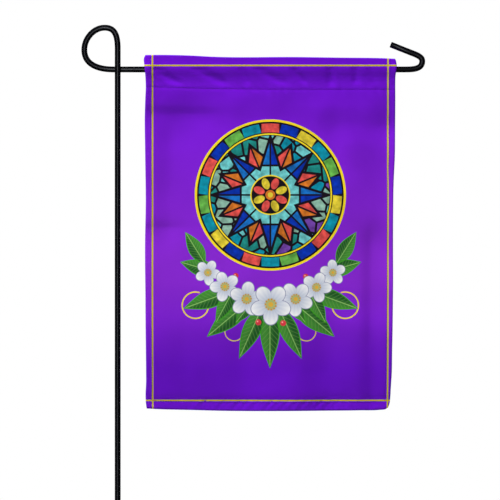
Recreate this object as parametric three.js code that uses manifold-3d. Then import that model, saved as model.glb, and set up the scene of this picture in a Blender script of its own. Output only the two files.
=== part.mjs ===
// Garden flag: a printed flag on the arm of a bent wire stake stand.
// Millimetres, +Z up. The front of the flag faces -Y. The origin is where the pole's axis
// meets the ground.

import * as THREE from "three";
import { mergeVertices } from "three/addons/utils/BufferGeometryUtils.js";
import Module from "manifold-3d";

const wasm = await Module();
wasm.setup();

const { clamp, degToRad, lerp, smoothstep } = THREE.MathUtils;

// Driving dimensions of the stand
const WIRE_DIAMETER = 7.6;
const WIRE_SIDES = 12;
const PIECE_GAP = 0.3;
const ARM_HEIGHT = 735;
const STAKE_DEPTH = 150;
const STAKE_TIP_ANGLE = 28;
const STAKE_TIP_OFFSET = 2.3;
const ARM_Y = WIRE_DIAMETER + PIECE_GAP;

// The round loop at the corner, as heights above the arm and distances from the pole
const LOOP = { startUp: 26.4, topX: -16.9, topUp: 53.2, sideX: -43.2, sideUp: 24.8, endX: -5.3 };
const LOOP_EASE = {
  leavePole: 21.5,
  reachTop: 10.5,
  leaveTop: 14.1,
  reachSide: 14.7,
  leaveSide: 15.9,
  reachArm: 25.1,
  drift: 0.4,
};

// The turned-back hook at the arm's free end
const HOOK = {
  startX: 372,
  sideX: 392.5,
  sideUp: 11,
  backX: 376.6,
  backUp: 22.2,
  tipX: 351.7,
  tipUp: 32.1,
};
const HOOK_EASE = { leaveArm: 14.8, reachSide: 8, leaveSide: 6, reachBack: 7 };
const BEND_STEPS = 11;

// The step bar and the second prong at the ground
const STEP_BAR = { reach: 78, width: 12, thick: 3 };
const PRONG_X = 70;

// Driving dimensions of the cloth. "down" is the distance below the arm's axis.
const CLOTH_THICK = 1.1;
const HEM_EXTRA = 0.8;
const SIDE_HEM = 9;
const BOTTOM_HEM = 13;
const HEM_STEP = 0.9;
const SEAM_STEP = 1.5;
const SEAM_HOLD = 0.9;
const TOP_ROUND = 0.8;
const CREASE_REACH = 8;
const COLUMN_PITCH = 6.6;

// The sleeve's pocket is shut above the arm. Its back layer goes round the arm, keeps its full distance
// from the front layer a little way down, and then falls almost straight to the seam.
const POCKET_TOP = -5.8;
const POCKET_DEPTH = 8.95;
const POCKET_FULL = 1.2;
const POCKET_TAPER = 1.1;
const POCKET_FOOT = 0.7;
const POCKET_ROUND_STEPS = 4;
const SLEEVE_TOP = -6.9;

// Outline of the hanging cloth
const LEFT_EDGE = [
  { down: -18, x: 35.6 }, { down: -15, x: 34.1 }, { down: -7, x: 34.1 }, { down: 1, x: 35.0 },
  { down: 21, x: 36.2 }, { down: 42, x: 35.4 }, { down: 58, x: 34.8 }, { down: 104, x: 35.2 },
  { down: 180, x: 36.0 }, { down: 217, x: 35.2 }, { down: 297, x: 35.7 }, { down: 400, x: 36.3 },
  { down: 438, x: 36.2 },
];
const RIGHT_EDGE = [
  { down: -14, x: 356.6 }, { down: -10, x: 358.4 }, { down: 11, x: 357.5 }, { down: 42, x: 357.5 },
  { down: 83, x: 357.3 }, { down: 114, x: 356.8 }, { down: 145, x: 355.3 }, { down: 186, x: 354.6 },
  { down: 284, x: 354.5 }, { down: 362, x: 353.5 }, { down: 393, x: 353.1 }, { down: 413, x: 352.0 },
  { down: 424, x: 351.5 }, { down: 432, x: 350.4 }, { down: 437, x: 348.0 },
];
const TOP_FOLD = [
  { x: 36, down: -18.4 }, { x: 54, down: -18.3 }, { x: 93, down: -17.5 }, { x: 119, down: -16.1 },
  { x: 235, down: -15.5 }, { x: 286, down: -14.8 }, { x: 346, down: -13.9 }, { x: 357, down: -13.2 },
];
const BOTTOM_EDGE = [
  { x: 36, down: 437.8 }, { x: 48, down: 438.5 }, { x: 93, down: 439.7 }, { x: 131, down: 440.7 },
  { x: 235, down: 440.7 }, { x: 312, down: 440.2 }, { x: 338, down: 439.6 }, { x: 346, down: 438.4 },
  { x: 350, down: 435.6 },
];
const SLEEVE_SEAM = [
  { x: 48, down: 22.4 }, { x: 125, down: 24.6 }, { x: 170, down: 25.2 }, { x: 300, down: 25.6 },
];
const FIRST_CREASE = [{ x: 36, down: 55 }, { x: 355, down: 67 }];
const SECOND_CREASE = [{ x: 36, down: 205 }, { x: 355, down: 186 }];
const THIRD_CREASE = [{ x: 36, down: 336 }, { x: 355, down: 342 }];

// How the front layer hangs: its distance behind the arm's axis. It lies before the arm, and is nearly
// flat from the top fold to the seam. The panel bows forward to its third crease and kicks back below it.
const HANG = [
  { down: -18, back: -5.0 }, { down: -9, back: -5.05 }, { down: -3, back: -5.2 }, { down: 2, back: -5.2 },
  { down: 5, back: -4.9 }, { down: 10, back: -4.1 }, { down: 15, back: -3.5 }, { down: 26, back: -3.4 },
  { down: 45, back: -2.7 }, { down: 62, back: -1.7 }, { down: 120, back: -2.1 }, { down: 200, back: -3.0 },
  { down: 300, back: -4.2 }, { down: 332, back: -4.5 }, { down: 360, back: -1.9 }, { down: 400, back: 3.5 },
  { down: 421, back: 6.9 }, { down: 440, back: 9.8 },
];

// Soft folds of the hanging panel: a line from one end to the other, how wide the fold spreads on its
// upper or left side and on the other side, and how deep it is. A positive depth is a trough.
const FOLD_END = 1.6;
const PANEL_FOLDS = [
  { x0: 30, down0: 57, x1: 108, down1: 59, before: 9, after: 18, depth: 1.6 },
  { x0: 285, down0: 76, x1: 362, down1: 77, before: 15, after: 18, depth: 1.6 },
  { x0: 28, down0: 207, x1: 60, down1: 206, before: 8, after: 30, depth: 1.3 },
  { x0: 290, down0: 188, x1: 360, down1: 186, before: 28, after: 34, depth: -1.5 },
  { x0: 88, down0: 30, x1: 90, down1: 46, before: 16, after: 18, depth: 1.0 },
  { x0: 150, down0: 28, x1: 152, down1: 52, before: 15, after: 15, depth: -0.9 },
  { x0: 222, down0: 28, x1: 220, down1: 50, before: 16, after: 16, depth: 0.8 },
  { x0: 264, down0: 28, x1: 264, down1: 72, before: 20, after: 18, depth: -1.8 },
  { x0: 306, down0: 30, x1: 308, down1: 54, before: 14, after: 14, depth: 0.9 },
  { x0: 71, down0: 95, x1: 69, down1: 188, before: 17, after: 38, depth: 2.8 },
  { x0: 300, down0: 84, x1: 300, down1: 132, before: 24, after: 30, depth: -3.0 },
  { x0: 328, down0: 225, x1: 327, down1: 318, before: 10, after: 20, depth: 2.6 },
  { x0: 190, down0: 190, x1: 195, down1: 300, before: 70, after: 70, depth: -3.4 },
  { x0: 85, down0: 352, x1: 83, down1: 420, before: 14, after: 14, depth: 0.9 },
  { x0: 162, down0: 352, x1: 163, down1: 425, before: 24, after: 28, depth: 2.4 },
  { x0: 230, down0: 362, x1: 232, down1: 425, before: 24, after: 22, depth: -2.2 },
  { x0: 274, down0: 350, x1: 272, down1: 425, before: 20, after: 20, depth: 1.4 },
  { x0: 308, down0: 345, x1: 308, down1: 425, before: 12, after: 12, depth: -0.5 },
  { x0: 328, down0: 350, x1: 328, down1: 425, before: 9, after: 13, depth: 1.2 },
  { x0: 182, down0: 441, x1: 212, down1: 441, before: 42, after: 20, depth: -3.5 },
];

// Drag lines that slant down from the arm in the front layer of the sleeve. They are shallow over the
// arm and deeper where the layer hangs free below it.
const DRAG = {
  overArm: 0.45,
  below: 1.0,
  deepenFrom: 3,
  deepenTo: 10,
  startFrom: -4,
  startTo: 1,
  fade: 0.45,
};
const SLEEVE_FOLDS = [
  { x0: 50, down0: -1, x1: 78, down1: 20, before: 6, after: 6, depth: 1.9 },
  { x0: 103, down0: -1, x1: 134, down1: 17, before: 6, after: 6, depth: 1.8 },
  { x0: 146, down0: 2, x1: 156, down1: 16, before: 6, after: 6, depth: 0.8 },
  { x0: 182, down0: -1, x1: 210, down1: 16, before: 6, after: 6, depth: 1.4 },
  { x0: 222, down0: 3, x1: 232, down1: 14, before: 6, after: 6, depth: 0.8 },
  { x0: 273, down0: -1, x1: 274, down1: 20, before: 6, after: 6, depth: 1.5 },
  { x0: 303, down0: -1, x1: 304, down1: 12, before: 6, after: 6, depth: 1.2 },
  { x0: 325, down0: 0, x1: 330, down1: 14, before: 6, after: 6, depth: 0.7 },
];

// Value of a short table at a place, joined by straight stretches
function lookUp(table, key, value, at) {
  const last = table.length - 1;
  if (at <= table[0][key]) return table[0][value];
  if (at >= table[last][key]) return table[last][value];
  const next = table.findIndex((row) => row[key] > at);
  const low = table[next - 1];
  const high = table[next];
  const share = (at - low[key]) / (high[key] - low[key]);
  return lerp(low[value], high[value], share);
}

// Depth of one fold at a point of the cloth: a soft trough along its line that fades past both ends
function foldDepth(fold, x, down) {
  const alongX = fold.x1 - fold.x0;
  const alongDown = fold.down1 - fold.down0;
  const length = Math.hypot(alongX, alongDown);
  const along = ((x - fold.x0) * alongX + (down - fold.down0) * alongDown) / length;
  const across = ((down - fold.down0) * alongX - (x - fold.x0) * alongDown) / length;
  const upright = Math.abs(alongDown) > Math.abs(alongX);
  const isBefore = upright ? across > 0 : across < 0;
  const side = across / (isBefore ? fold.before : fold.after);
  const end = Math.max(0, -along, along - length) / (FOLD_END * (fold.before + fold.after) / 2);
  return fold.depth * Math.exp(-side * side - end * end);
}

function foldsDepth(folds, x, down) {
  return folds.reduce((sum, fold) => sum + foldDepth(fold, x, down), 0);
}

// Distance of the front layer's middle behind the arm's axis. The seam holds the panel's folds flat.
function clothBack(x, down) {
  const seam = lookUp(SLEEVE_SEAM, "x", "down", x);
  const freedom = smoothstep(down / seam, SEAM_HOLD, 2);
  return lookUp(HANG, "down", "back", down) + freedom * foldsDepth(PANEL_FOLDS, x, down);
}

// How deep the drag lines draw in the sleeve's front layer
function dragDepth(x, down, seam) {
  const room = DRAG.overArm + DRAG.below * smoothstep(down, DRAG.deepenFrom, DRAG.deepenTo);
  const start = smoothstep(down, DRAG.startFrom, DRAG.startTo);
  const ease = start * (1 - smoothstep(down / seam, DRAG.fade, 1));
  return room * Math.tanh(foldsDepth(SLEEVE_FOLDS, x, down) / room) * ease;
}

// How far apart the sleeve's two layers stand, where the quarter round over the arm starts at top
function pocketDepth(down, seam, top) {
  if (down <= top) return 0;
  if (down < 0) return POCKET_DEPTH * Math.sqrt(1 - (down / top) ** 2);
  const share = clamp((seam - down) / (seam - POCKET_FULL), 0, 1);
  return POCKET_DEPTH * share ** POCKET_TAPER;
}

// A place on the cloth by its share of the width and its height below the arm
function clothX(share, down) {
  const left = lookUp(LEFT_EDGE, "down", "x", down);
  const right = lookUp(RIGHT_EDGE, "down", "x", down);
  return lerp(left, right, share);
}

// Height of a line across the cloth, in the column with this share of the width
function lineDown(line, share) {
  const guess = lookUp(line, "x", "down", clothX(share, line[0].down));
  return lookUp(line, "x", "down", clothX(share, guess));
}

// 1 inside the side and bottom hems, where the cloth is turned over, and 0 elsewhere
function hemShare(x, down) {
  const left = x - lookUp(LEFT_EDGE, "down", "x", down);
  const right = lookUp(RIGHT_EDGE, "down", "x", down) - x;
  const bottom = lookUp(BOTTOM_EDGE, "x", "down", x) - down;
  const edge = Math.min(left - SIDE_HEM, right - SIDE_HEM, bottom - BOTTOM_HEM);
  return 1 - clamp(edge / HEM_STEP + 0.5, 0, 1);
}

// The places where a column's rows lie, from the bottom of the front up to the top fold
function panelRows(share) {
  const seam = lineDown(SLEEVE_SEAM, share);
  const bottom = lineDown(BOTTOM_EDGE, share);
  const first = lineDown(FIRST_CREASE, share);
  const second = lineDown(SECOND_CREASE, share);
  const third = lineDown(THIRD_CREASE, share);
  const lines = [
    { down: bottom, rowsAbove: 2 },
    { down: bottom - BOTTOM_HEM + HEM_STEP / 2, rowsAbove: 1 },
    { down: bottom - BOTTOM_HEM - HEM_STEP / 2, rowsAbove: 4 },
    { down: third, rowsAbove: 6 },
    { down: second + CREASE_REACH, rowsAbove: 2 },
    { down: second - CREASE_REACH, rowsAbove: 6 },
    { down: first + CREASE_REACH, rowsAbove: 2 },
    { down: first - CREASE_REACH, rowsAbove: 2 },
    { down: seam + SEAM_STEP, rowsAbove: 0 },
  ];
  const rows = [];
  for (let line = 0; line < lines.length - 1; line += 1) {
    const { down, rowsAbove } = lines[line];
    for (let row = 0; row < rowsAbove; row += 1) {
      rows.push(lerp(down, lines[line + 1].down, row / rowsAbove));
    }
  }
  rows.push(seam + SEAM_STEP);
  return rows;
}

// Rows over the arm on a quarter round that ends at top, from the arm's height upwards
function roundRows(top) {
  return Array.from({ length: POCKET_ROUND_STEPS }, (_, step) =>
    top * Math.sin((step + 1) / POCKET_ROUND_STEPS * Math.PI / 2));
}

// Heights of even rows from a share of the seam's height upwards to just below the arm's height
function rowsBelowArm(seam, share, count) {
  return Array.from({ length: count }, (_, row) => seam * share * (1 - row / count));
}

// Rows of the sleeve's front from the seam upwards, and of its back
function sleeveFrontRows(seam, top) {
  const overArm = [0, POCKET_TOP / 2, POCKET_TOP];
  return [...rowsBelowArm(seam, 1, 5), ...overArm, (top + POCKET_TOP) / 2, top + TOP_ROUND];
}

function sleeveBackRows(seam, top) {
  const overArm = [POCKET_FULL, 0, ...roundRows(SLEEVE_TOP)];
  return [...rowsBelowArm(seam, 1, 3), ...overArm, (top + SLEEVE_TOP) / 2, top + TOP_ROUND];
}

// Rows of the pocket's inner face from above its foot upwards, on the front layer and on the back layer
function pocketFrontRows(seam) {
  return [...rowsBelowArm(seam, POCKET_FOOT, 3), 0, POCKET_TOP / 2];
}

function pocketBackRows(seam) {
  return [...rowsBelowArm(seam, POCKET_FOOT, 3), POCKET_FULL, 0, ...roundRows(POCKET_TOP).slice(0, -1)];
}

// A point of the cloth at a height in a column, so far behind the middle of the front layer there
function clothPoint(share, down, behindAt) {
  const x = clothX(share, down);
  const seam = lookUp(SLEEVE_SEAM, "x", "down", x);
  return new THREE.Vector3(x, ARM_Y + clothBack(x, down) + behindAt(x, seam), ARM_HEIGHT - down);
}

function frontPoint(share, down) {
  return clothPoint(share, down, (x, seam) => dragDepth(x, down, seam) - CLOTH_THICK / 2);
}

function panelBackPoint(share, down) {
  return clothPoint(share, down, (x) => CLOTH_THICK / 2 + HEM_EXTRA * hemShare(x, down));
}

function sleeveBackPoint(share, down) {
  return clothPoint(share, down, (x, seam) =>
    CLOTH_THICK * 1.5 + HEM_EXTRA * hemShare(x, down) + pocketDepth(down, seam, SLEEVE_TOP));
}

function pocketFrontPoint(share, down) {
  return clothPoint(share, down, (x, seam) => dragDepth(x, down, seam) + CLOTH_THICK / 2);
}

function pocketBackPoint(share, down) {
  return clothPoint(share, down, (x, seam) => pocketDepth(down, seam, POCKET_TOP) + CLOTH_THICK / 2);
}

// One cross-section of the cloth: its outer outline, and the pocket that the arm runs through
function clothSection(share) {
  const seam = lineDown(SLEEVE_SEAM, share);
  const top = lineDown(TOP_FOLD, share);
  const panel = panelRows(share);
  const outer = [
    ...panel.map((down) => frontPoint(share, down)),
    ...sleeveFrontRows(seam, top).map((down) => frontPoint(share, down)),
    clothPoint(share, top, () => CLOTH_THICK / 2),
    ...sleeveBackRows(seam, top).map((down) => sleeveBackPoint(share, down)).reverse(),
    ...panel.map((down) => panelBackPoint(share, down)).reverse(),
  ];
  const inner = [
    pocketFrontPoint(share, seam - SEAM_STEP),
    ...pocketBackRows(seam).map((down) => pocketBackPoint(share, down)),
    clothPoint(share, POCKET_TOP, () => CLOTH_THICK / 2),
    ...pocketFrontRows(seam).map((down) => pocketFrontPoint(share, down)).reverse(),
  ];
  return { outer, inner };
}

// Shares of the width where the columns lie: even, with one more beside each step of a side hem
function columnShares() {
  const width = clothX(1, 0) - clothX(0, 0);
  const hemShares = [SIDE_HEM - HEM_STEP / 2, SIDE_HEM + HEM_STEP / 2].map((inset) => inset / width);
  const inside = hemShares[1];
  const columns = Math.round((width - 2 * SIDE_HEM) / COLUMN_PITCH);
  const even = Array.from({ length: columns - 1 }, (_, column) =>
    lerp(inside, 1 - inside, (column + 1) / columns));
  return [0, ...hemShares, ...even, 1 - hemShares[1], 1 - hemShares[0], 1];
}

// Faces between two neighbouring rings of points
function ringFaces(first, second, count) {
  const faces = [];
  for (let point = 0; point < count; point += 1) {
    const next = (point + 1) % count;
    faces.push(first + point, second + point, second + next);
    faces.push(first + point, second + next, first + next);
  }
  return faces;
}

// Faces that close an end of the cloth, turned to face away from it
function endFaces(section, outerStart, innerStart, facingRight) {
  const flat = (point) => new THREE.Vector2(point.y, point.z);
  const outline = section.outer.map(flat);
  const hole = section.inner.map(flat);
  const points = [...outline, ...hole];
  const outerCount = outline.length;
  const place = (index) => (index < outerCount ? outerStart + index : innerStart + index - outerCount);
  const faces = [];
  for (const [a, b, c] of THREE.ShapeUtils.triangulateShape(outline, [hole])) {
    const turnsLeft = THREE.ShapeUtils.area([points[a], points[b], points[c]]) > 0;
    const corners = turnsLeft === facingRight ? [a, b, c] : [a, c, b];
    faces.push(...corners.map(place));
  }
  return faces;
}

function buildCloth() {
  const sections = columnShares().map(clothSection);
  const positions = [];
  const outerStarts = [];
  const innerStarts = [];
  for (const { outer, inner } of sections) {
    outerStarts.push(positions.length / 3);
    outer.forEach((point) => positions.push(...point.toArray()));
    innerStarts.push(positions.length / 3);
    inner.forEach((point) => positions.push(...point.toArray()));
  }
  const faces = [];
  const last = sections.length - 1;
  for (let column = 0; column < last; column += 1) {
    faces.push(...ringFaces(outerStarts[column], outerStarts[column + 1], sections[column].outer.length));
    faces.push(...ringFaces(innerStarts[column], innerStarts[column + 1], sections[column].inner.length));
  }
  faces.push(...endFaces(sections[0], outerStarts[0], innerStarts[0], false));
  faces.push(...endFaces(sections[last], outerStarts[last], innerStarts[last], true));
  const geometry = new THREE.BufferGeometry();
  geometry.setAttribute("position", new THREE.Float32BufferAttribute(positions, 3));
  geometry.setIndex(faces);
  return geometry;
}

// A wire's path as stations that lie close together in its bends and far apart on its straights
class WirePath extends THREE.Curve {
  constructor(stretches) {
    super();
    this.stations = [];
    for (const { curve, steps } of stretches) {
      const first = this.stations.length === 0 ? 0 : 1;
      for (let step = first; step <= steps; step += 1) {
        this.stations.push({ point: curve.getPoint(step / steps), tangent: curve.getTangent(step / steps) });
      }
    }
  }

  get steps() {
    return this.stations.length - 1;
  }

  getPointAt(share, target = new THREE.Vector3()) {
    return target.copy(this.stations[Math.round(share * this.steps)].point);
  }

  getTangentAt(share, target = new THREE.Vector3()) {
    return target.copy(this.stations[Math.round(share * this.steps)].tangent);
  }
}

function wireGeometry(stretches) {
  const path = new WirePath(stretches);
  const section = new THREE.Shape();
  for (let side = 0; side < WIRE_SIDES; side += 1) {
    const angle = (side + 0.5) * (2 * Math.PI / WIRE_SIDES);
    const x = Math.cos(angle) * WIRE_DIAMETER / 2;
    const y = Math.sin(angle) * WIRE_DIAMETER / 2;
    if (side === 0) section.moveTo(x, y);
    else section.lineTo(x, y);
  }
  section.closePath();
  return new THREE.ExtrudeGeometry(section, { steps: path.steps, extrudePath: path, curveSegments: 1 });
}

// A stretch of wire in the stand's plane, with heights above the arm
const standPoint = (x, y, up) => new THREE.Vector3(x, y, ARM_HEIGHT + up);
const straight = (from, to) => ({ curve: new THREE.LineCurve3(from, to), steps: 1 });
const bend = (from, ease1, ease2, to) => ({
  curve: new THREE.CubicBezierCurve3(from, ease1, ease2, to),
  steps: BEND_STEPS,
});

// The stand's wire goes up the pole, round the loop, behind the pole and out along the arm
function standStretches() {
  const half = ARM_Y / 2;
  const tip = new THREE.Vector3(0, 0, -STAKE_DEPTH);
  const loopStart = standPoint(0, 0, LOOP.startUp);
  const loopTop = standPoint(LOOP.topX, 0, LOOP.topUp);
  const loopSide = standPoint(LOOP.sideX, half, LOOP.sideUp);
  const loopEnd = standPoint(LOOP.endX, ARM_Y, 0);
  const hookStart = standPoint(HOOK.startX, ARM_Y, 0);
  const hookSide = standPoint(HOOK.sideX, ARM_Y, HOOK.sideUp);
  const hookBack = standPoint(HOOK.backX, ARM_Y, HOOK.backUp);
  const hookTip = standPoint(HOOK.tipX, ARM_Y, HOOK.tipUp);
  const backward = hookTip.clone().sub(hookBack).normalize();
  return [
    straight(tip, loopStart),
    bend(
      loopStart,
      standPoint(0, 0, LOOP.startUp + LOOP_EASE.leavePole),
      standPoint(LOOP.topX + LOOP_EASE.reachTop, 0, LOOP.topUp),
      loopTop,
    ),
    bend(
      loopTop,
      standPoint(LOOP.topX - LOOP_EASE.leaveTop, 0, LOOP.topUp),
      standPoint(LOOP.sideX, half * (1 - LOOP_EASE.drift), LOOP.sideUp + LOOP_EASE.reachSide),
      loopSide,
    ),
    bend(
      loopSide,
      standPoint(LOOP.sideX, half * (1 + LOOP_EASE.drift), LOOP.sideUp - LOOP_EASE.leaveSide),
      standPoint(LOOP.endX - LOOP_EASE.reachArm, ARM_Y, 0),
      loopEnd,
    ),
    straight(loopEnd, hookStart),
    bend(
      hookStart,
      standPoint(HOOK.startX + HOOK_EASE.leaveArm, ARM_Y, 0),
      standPoint(HOOK.sideX, ARM_Y, HOOK.sideUp - HOOK_EASE.reachSide),
      hookSide,
    ),
    bend(
      hookSide,
      standPoint(HOOK.sideX, ARM_Y, HOOK.sideUp + HOOK_EASE.leaveSide),
      hookBack.clone().addScaledVector(backward, -HOOK_EASE.reachBack),
      hookBack,
    ),
    straight(hookBack, hookTip),
  ];
}

// A closed mesh as a solid, and a solid back as a mesh
function toSolid(geometry) {
  const bare = geometry.clone();
  bare.deleteAttribute("normal");
  bare.deleteAttribute("uv");
  const merged = mergeVertices(bare, 0.0001);
  const vertProperties = new Float32Array(merged.getAttribute("position").array);
  const triVerts = new Uint32Array(merged.getIndex().array);
  return new wasm.Manifold(new wasm.Mesh({ numProp: 3, vertProperties, triVerts }));
}

function toGeometry(solid) {
  const mesh = solid.getMesh();
  const geometry = new THREE.BufferGeometry();
  geometry.setAttribute("position", new THREE.Float32BufferAttribute(mesh.vertProperties, 3));
  geometry.setIndex(Array.from(mesh.triVerts));
  return geometry;
}

// The slanted cut that leaves a wire's lower end pointed
function cutTip(solid, x) {
  const size = STAKE_DEPTH / 3;
  const cutter = new THREE.BoxGeometry(size, size, size);
  cutter.translate(-size / 2, 0, 0);
  cutter.rotateY(degToRad(-STAKE_TIP_ANGLE));
  cutter.translate(x + STAKE_TIP_OFFSET, 0, -STAKE_DEPTH);
  return solid.subtract(toSolid(cutter));
}

function buildStandRod() {
  return toGeometry(cutTip(toSolid(wireGeometry(standStretches())), 0));
}

// The step bar butts against the pole, and the prong is welded under its far end
function buildGroundProng() {
  const start = WIRE_DIAMETER / 2 + PIECE_GAP;
  const bar = new THREE.BoxGeometry(STEP_BAR.reach - start, STEP_BAR.width, STEP_BAR.thick);
  bar.translate((STEP_BAR.reach + start) / 2, 0, STEP_BAR.thick / 2);
  const top = new THREE.Vector3(PRONG_X, 0, STEP_BAR.thick / 2);
  const tip = new THREE.Vector3(PRONG_X, 0, -STAKE_DEPTH);
  const prong = cutTip(toSolid(wireGeometry([straight(tip, top)])), PRONG_X);
  return toGeometry(toSolid(bar).add(prong));
}

const enamel = new THREE.MeshStandardMaterial({ color: 0x101114, roughness: 0.38, metalness: 0.5 });
const polyester = new THREE.MeshStandardMaterial({ color: 0x6e18c4, roughness: 0.55, metalness: 0 });

function namedMesh(name, geometry, material) {
  geometry.computeVertexNormals();
  const mesh = new THREE.Mesh(geometry, material);
  mesh.name = name;
  return mesh;
}

const stand = new THREE.Group();
stand.add(namedMesh("stand_rod", buildStandRod(), enamel));
stand.add(namedMesh("ground_prong", buildGroundProng(), enamel.clone()));

const gardenFlag = new THREE.Group();
gardenFlag.add(stand);
gardenFlag.add(namedMesh("flag_cloth", buildCloth(), polyester));

export default gardenFlag;
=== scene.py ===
"""Garden flag on a bent wire stake stand: a printed satin polyester flag hangs by its sleeve from a thin
black wire arm. The cloth's tables are in millimetres, as it was drawn, with x from the pole's axis and
"down" from the arm's axis. Every mesh is made in metres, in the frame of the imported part."""

import math
import random

import bmesh
import bpy
import numpy as np
from mathutils import Matrix, Vector


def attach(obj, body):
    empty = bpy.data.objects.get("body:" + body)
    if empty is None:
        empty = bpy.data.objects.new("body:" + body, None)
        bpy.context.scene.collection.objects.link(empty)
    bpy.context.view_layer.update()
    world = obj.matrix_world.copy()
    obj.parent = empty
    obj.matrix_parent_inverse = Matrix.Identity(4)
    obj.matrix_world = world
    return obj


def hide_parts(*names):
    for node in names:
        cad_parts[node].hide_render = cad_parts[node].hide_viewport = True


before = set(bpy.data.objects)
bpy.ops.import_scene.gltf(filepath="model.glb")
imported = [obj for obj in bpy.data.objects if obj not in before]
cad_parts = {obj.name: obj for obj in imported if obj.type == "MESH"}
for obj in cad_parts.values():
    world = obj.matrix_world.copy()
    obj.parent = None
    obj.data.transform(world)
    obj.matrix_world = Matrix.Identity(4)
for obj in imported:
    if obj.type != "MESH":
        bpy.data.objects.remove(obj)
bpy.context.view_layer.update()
MM = 0.001

# The stand, in millimetres
WIRE_RADIUS = 3.8
WIRE_SIDES = 28
BEND_STEPS = 26
PIECE_GAP = 0.3
ARM_HEIGHT = 735.0
ARM_Y = 2 * WIRE_RADIUS + PIECE_GAP
STAKE_DEPTH = 150.0
STAKE_TIP_ANGLE = 28.0
STAKE_TIP_X = 2.28
LOOP = {"start_up": 26.4, "top_x": -16.9, "top_up": 53.2, "side_x": -43.2, "side_up": 24.8, "end_x": -5.3}
LOOP_EASE = {
    "leave_pole": 21.5,
    "reach_top": 10.5,
    "leave_top": 14.1,
    "reach_side": 14.7,
    "leave_side": 15.9,
    "reach_arm": 25.1,
}
HOOK = {
    "start_x": 372.0,
    "side_x": 392.5,
    "side_up": 11.0,
    "back_x": 376.6,
    "back_up": 22.2,
    "tip_x": 351.7,
    "tip_up": 32.1,
}
HOOK_EASE = {"leave_arm": 14.8, "reach_side": 8.0, "leave_side": 6.0, "reach_back": 7.0}
STEP_BAR = {"reach": 78.0, "width": 12.0, "thick": 3.0, "edge": 0.8}
PRONG_X = 70.0
END_ROUNDING = {"stand": 0.16, "prong": 0.1}
SHARP_ANGLE = math.radians(40)

# The weld beads: how far off the wire, in their own radii, and their ripples
WELD = {"radius": 1.5, "off_wire": 0.35, "steps": 40, "ripple": 0.14, "ripple_turn": 1.4, "uneven": 0.04}

# The cloth, in millimetres: its thickness, the step from layer to layer, how far the front lies before the
# line in HANG, and about how large its parts are
SHEET = 0.3
LAYER = 0.42
FRONT_INSET = 0.3
WIDTH = 320.0
SLEEVE_HEIGHT = 42.0
PANEL_HEIGHT = 415.0

# The turned hems: their widths, the slope at their raw edge, and where the folded edge flattens
SIDE_HEM = 9.0
BOTTOM_HEM = 13.0
HEM_RAMP = 1.4
FOLD_INSET = 0.22

# The sleeve's back: its raw edge below the seam, its place behind the arm, and the pocket before it, which
# opens at POCKET_TOP, is full down to POCKET_FULL and narrows to the seam. The doubled side hems lie fully
# apart where it is HEMS_PART deep.
FLAP_BELOW_SEAM = 4.0
ROD_BACK = 4.35
POCKET_TOP = -5.8
POCKET_FULL = 1.2
POCKET_TAPER = 1.1
HEMS_PART = 4.0

# How far apart the columns and rows of points are, and how many lie across a turned hem
COLUMN_PITCH = 2.0
SLEEVE_PITCH = 1.25
PANEL_PITCH = 2.5
HEM_STEPS = {"side": 6, "bottom": 8}

LEFT_EDGE = {
    "down": [-18, -15, -7, 1, 21, 42, 58, 104, 180, 217, 297, 400, 434, 438],
    "x": [35.6, 34.1, 34.1, 35.0, 36.2, 35.4, 34.8, 35.2, 36.0, 35.2, 35.7, 36.3, 36.2, 36.9],
}
RIGHT_EDGE = {
    "down": [-14, -12.5, -10, 11, 42, 83, 114, 145, 186, 284, 362, 393, 413, 424, 432, 435, 437],
    "x": [
        356.0, 357.6, 358.4, 357.5, 357.5, 357.3, 356.8, 355.3, 354.6, 354.5, 353.5, 353.1, 352.0, 351.5,
        350.4, 349.4, 348.0,
    ],
}
TOP_FOLD = {
    "x": [36, 54, 93, 119, 235, 286, 346, 357],
    "down": [-18.2, -18.3, -17.5, -16.1, -15.5, -14.8, -13.9, -13.4],
}
BOTTOM_EDGE = {
    "x": [36, 48, 93, 131, 235, 312, 338, 346, 350],
    "down": [437.8, 438.5, 439.7, 440.7, 440.7, 440.2, 439.6, 438.4, 435.6],
}
SLEEVE_SEAM = {"x": [48, 125, 170, 300], "down": [22.4, 24.6, 25.2, 25.6]}

# How the front layer hangs: how far it lies behind the arm's axis, from the top fold to the bottom hem
HANG = {
    "down": [-18, -9, -3, 2, 5, 10, 15, 20, 26, 45, 62, 120, 200, 300, 332, 360, 400, 421, 427, 440],
    "back": [
        -5.0, -5.05, -5.2, -5.2, -4.9, -4.1, -3.5, -3.35, -3.4, -2.7, -1.7, -2.1, -3.0, -4.2, -4.5,
        -1.9, 3.5, 6.9, 8.0, 9.8,
    ],
}

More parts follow.
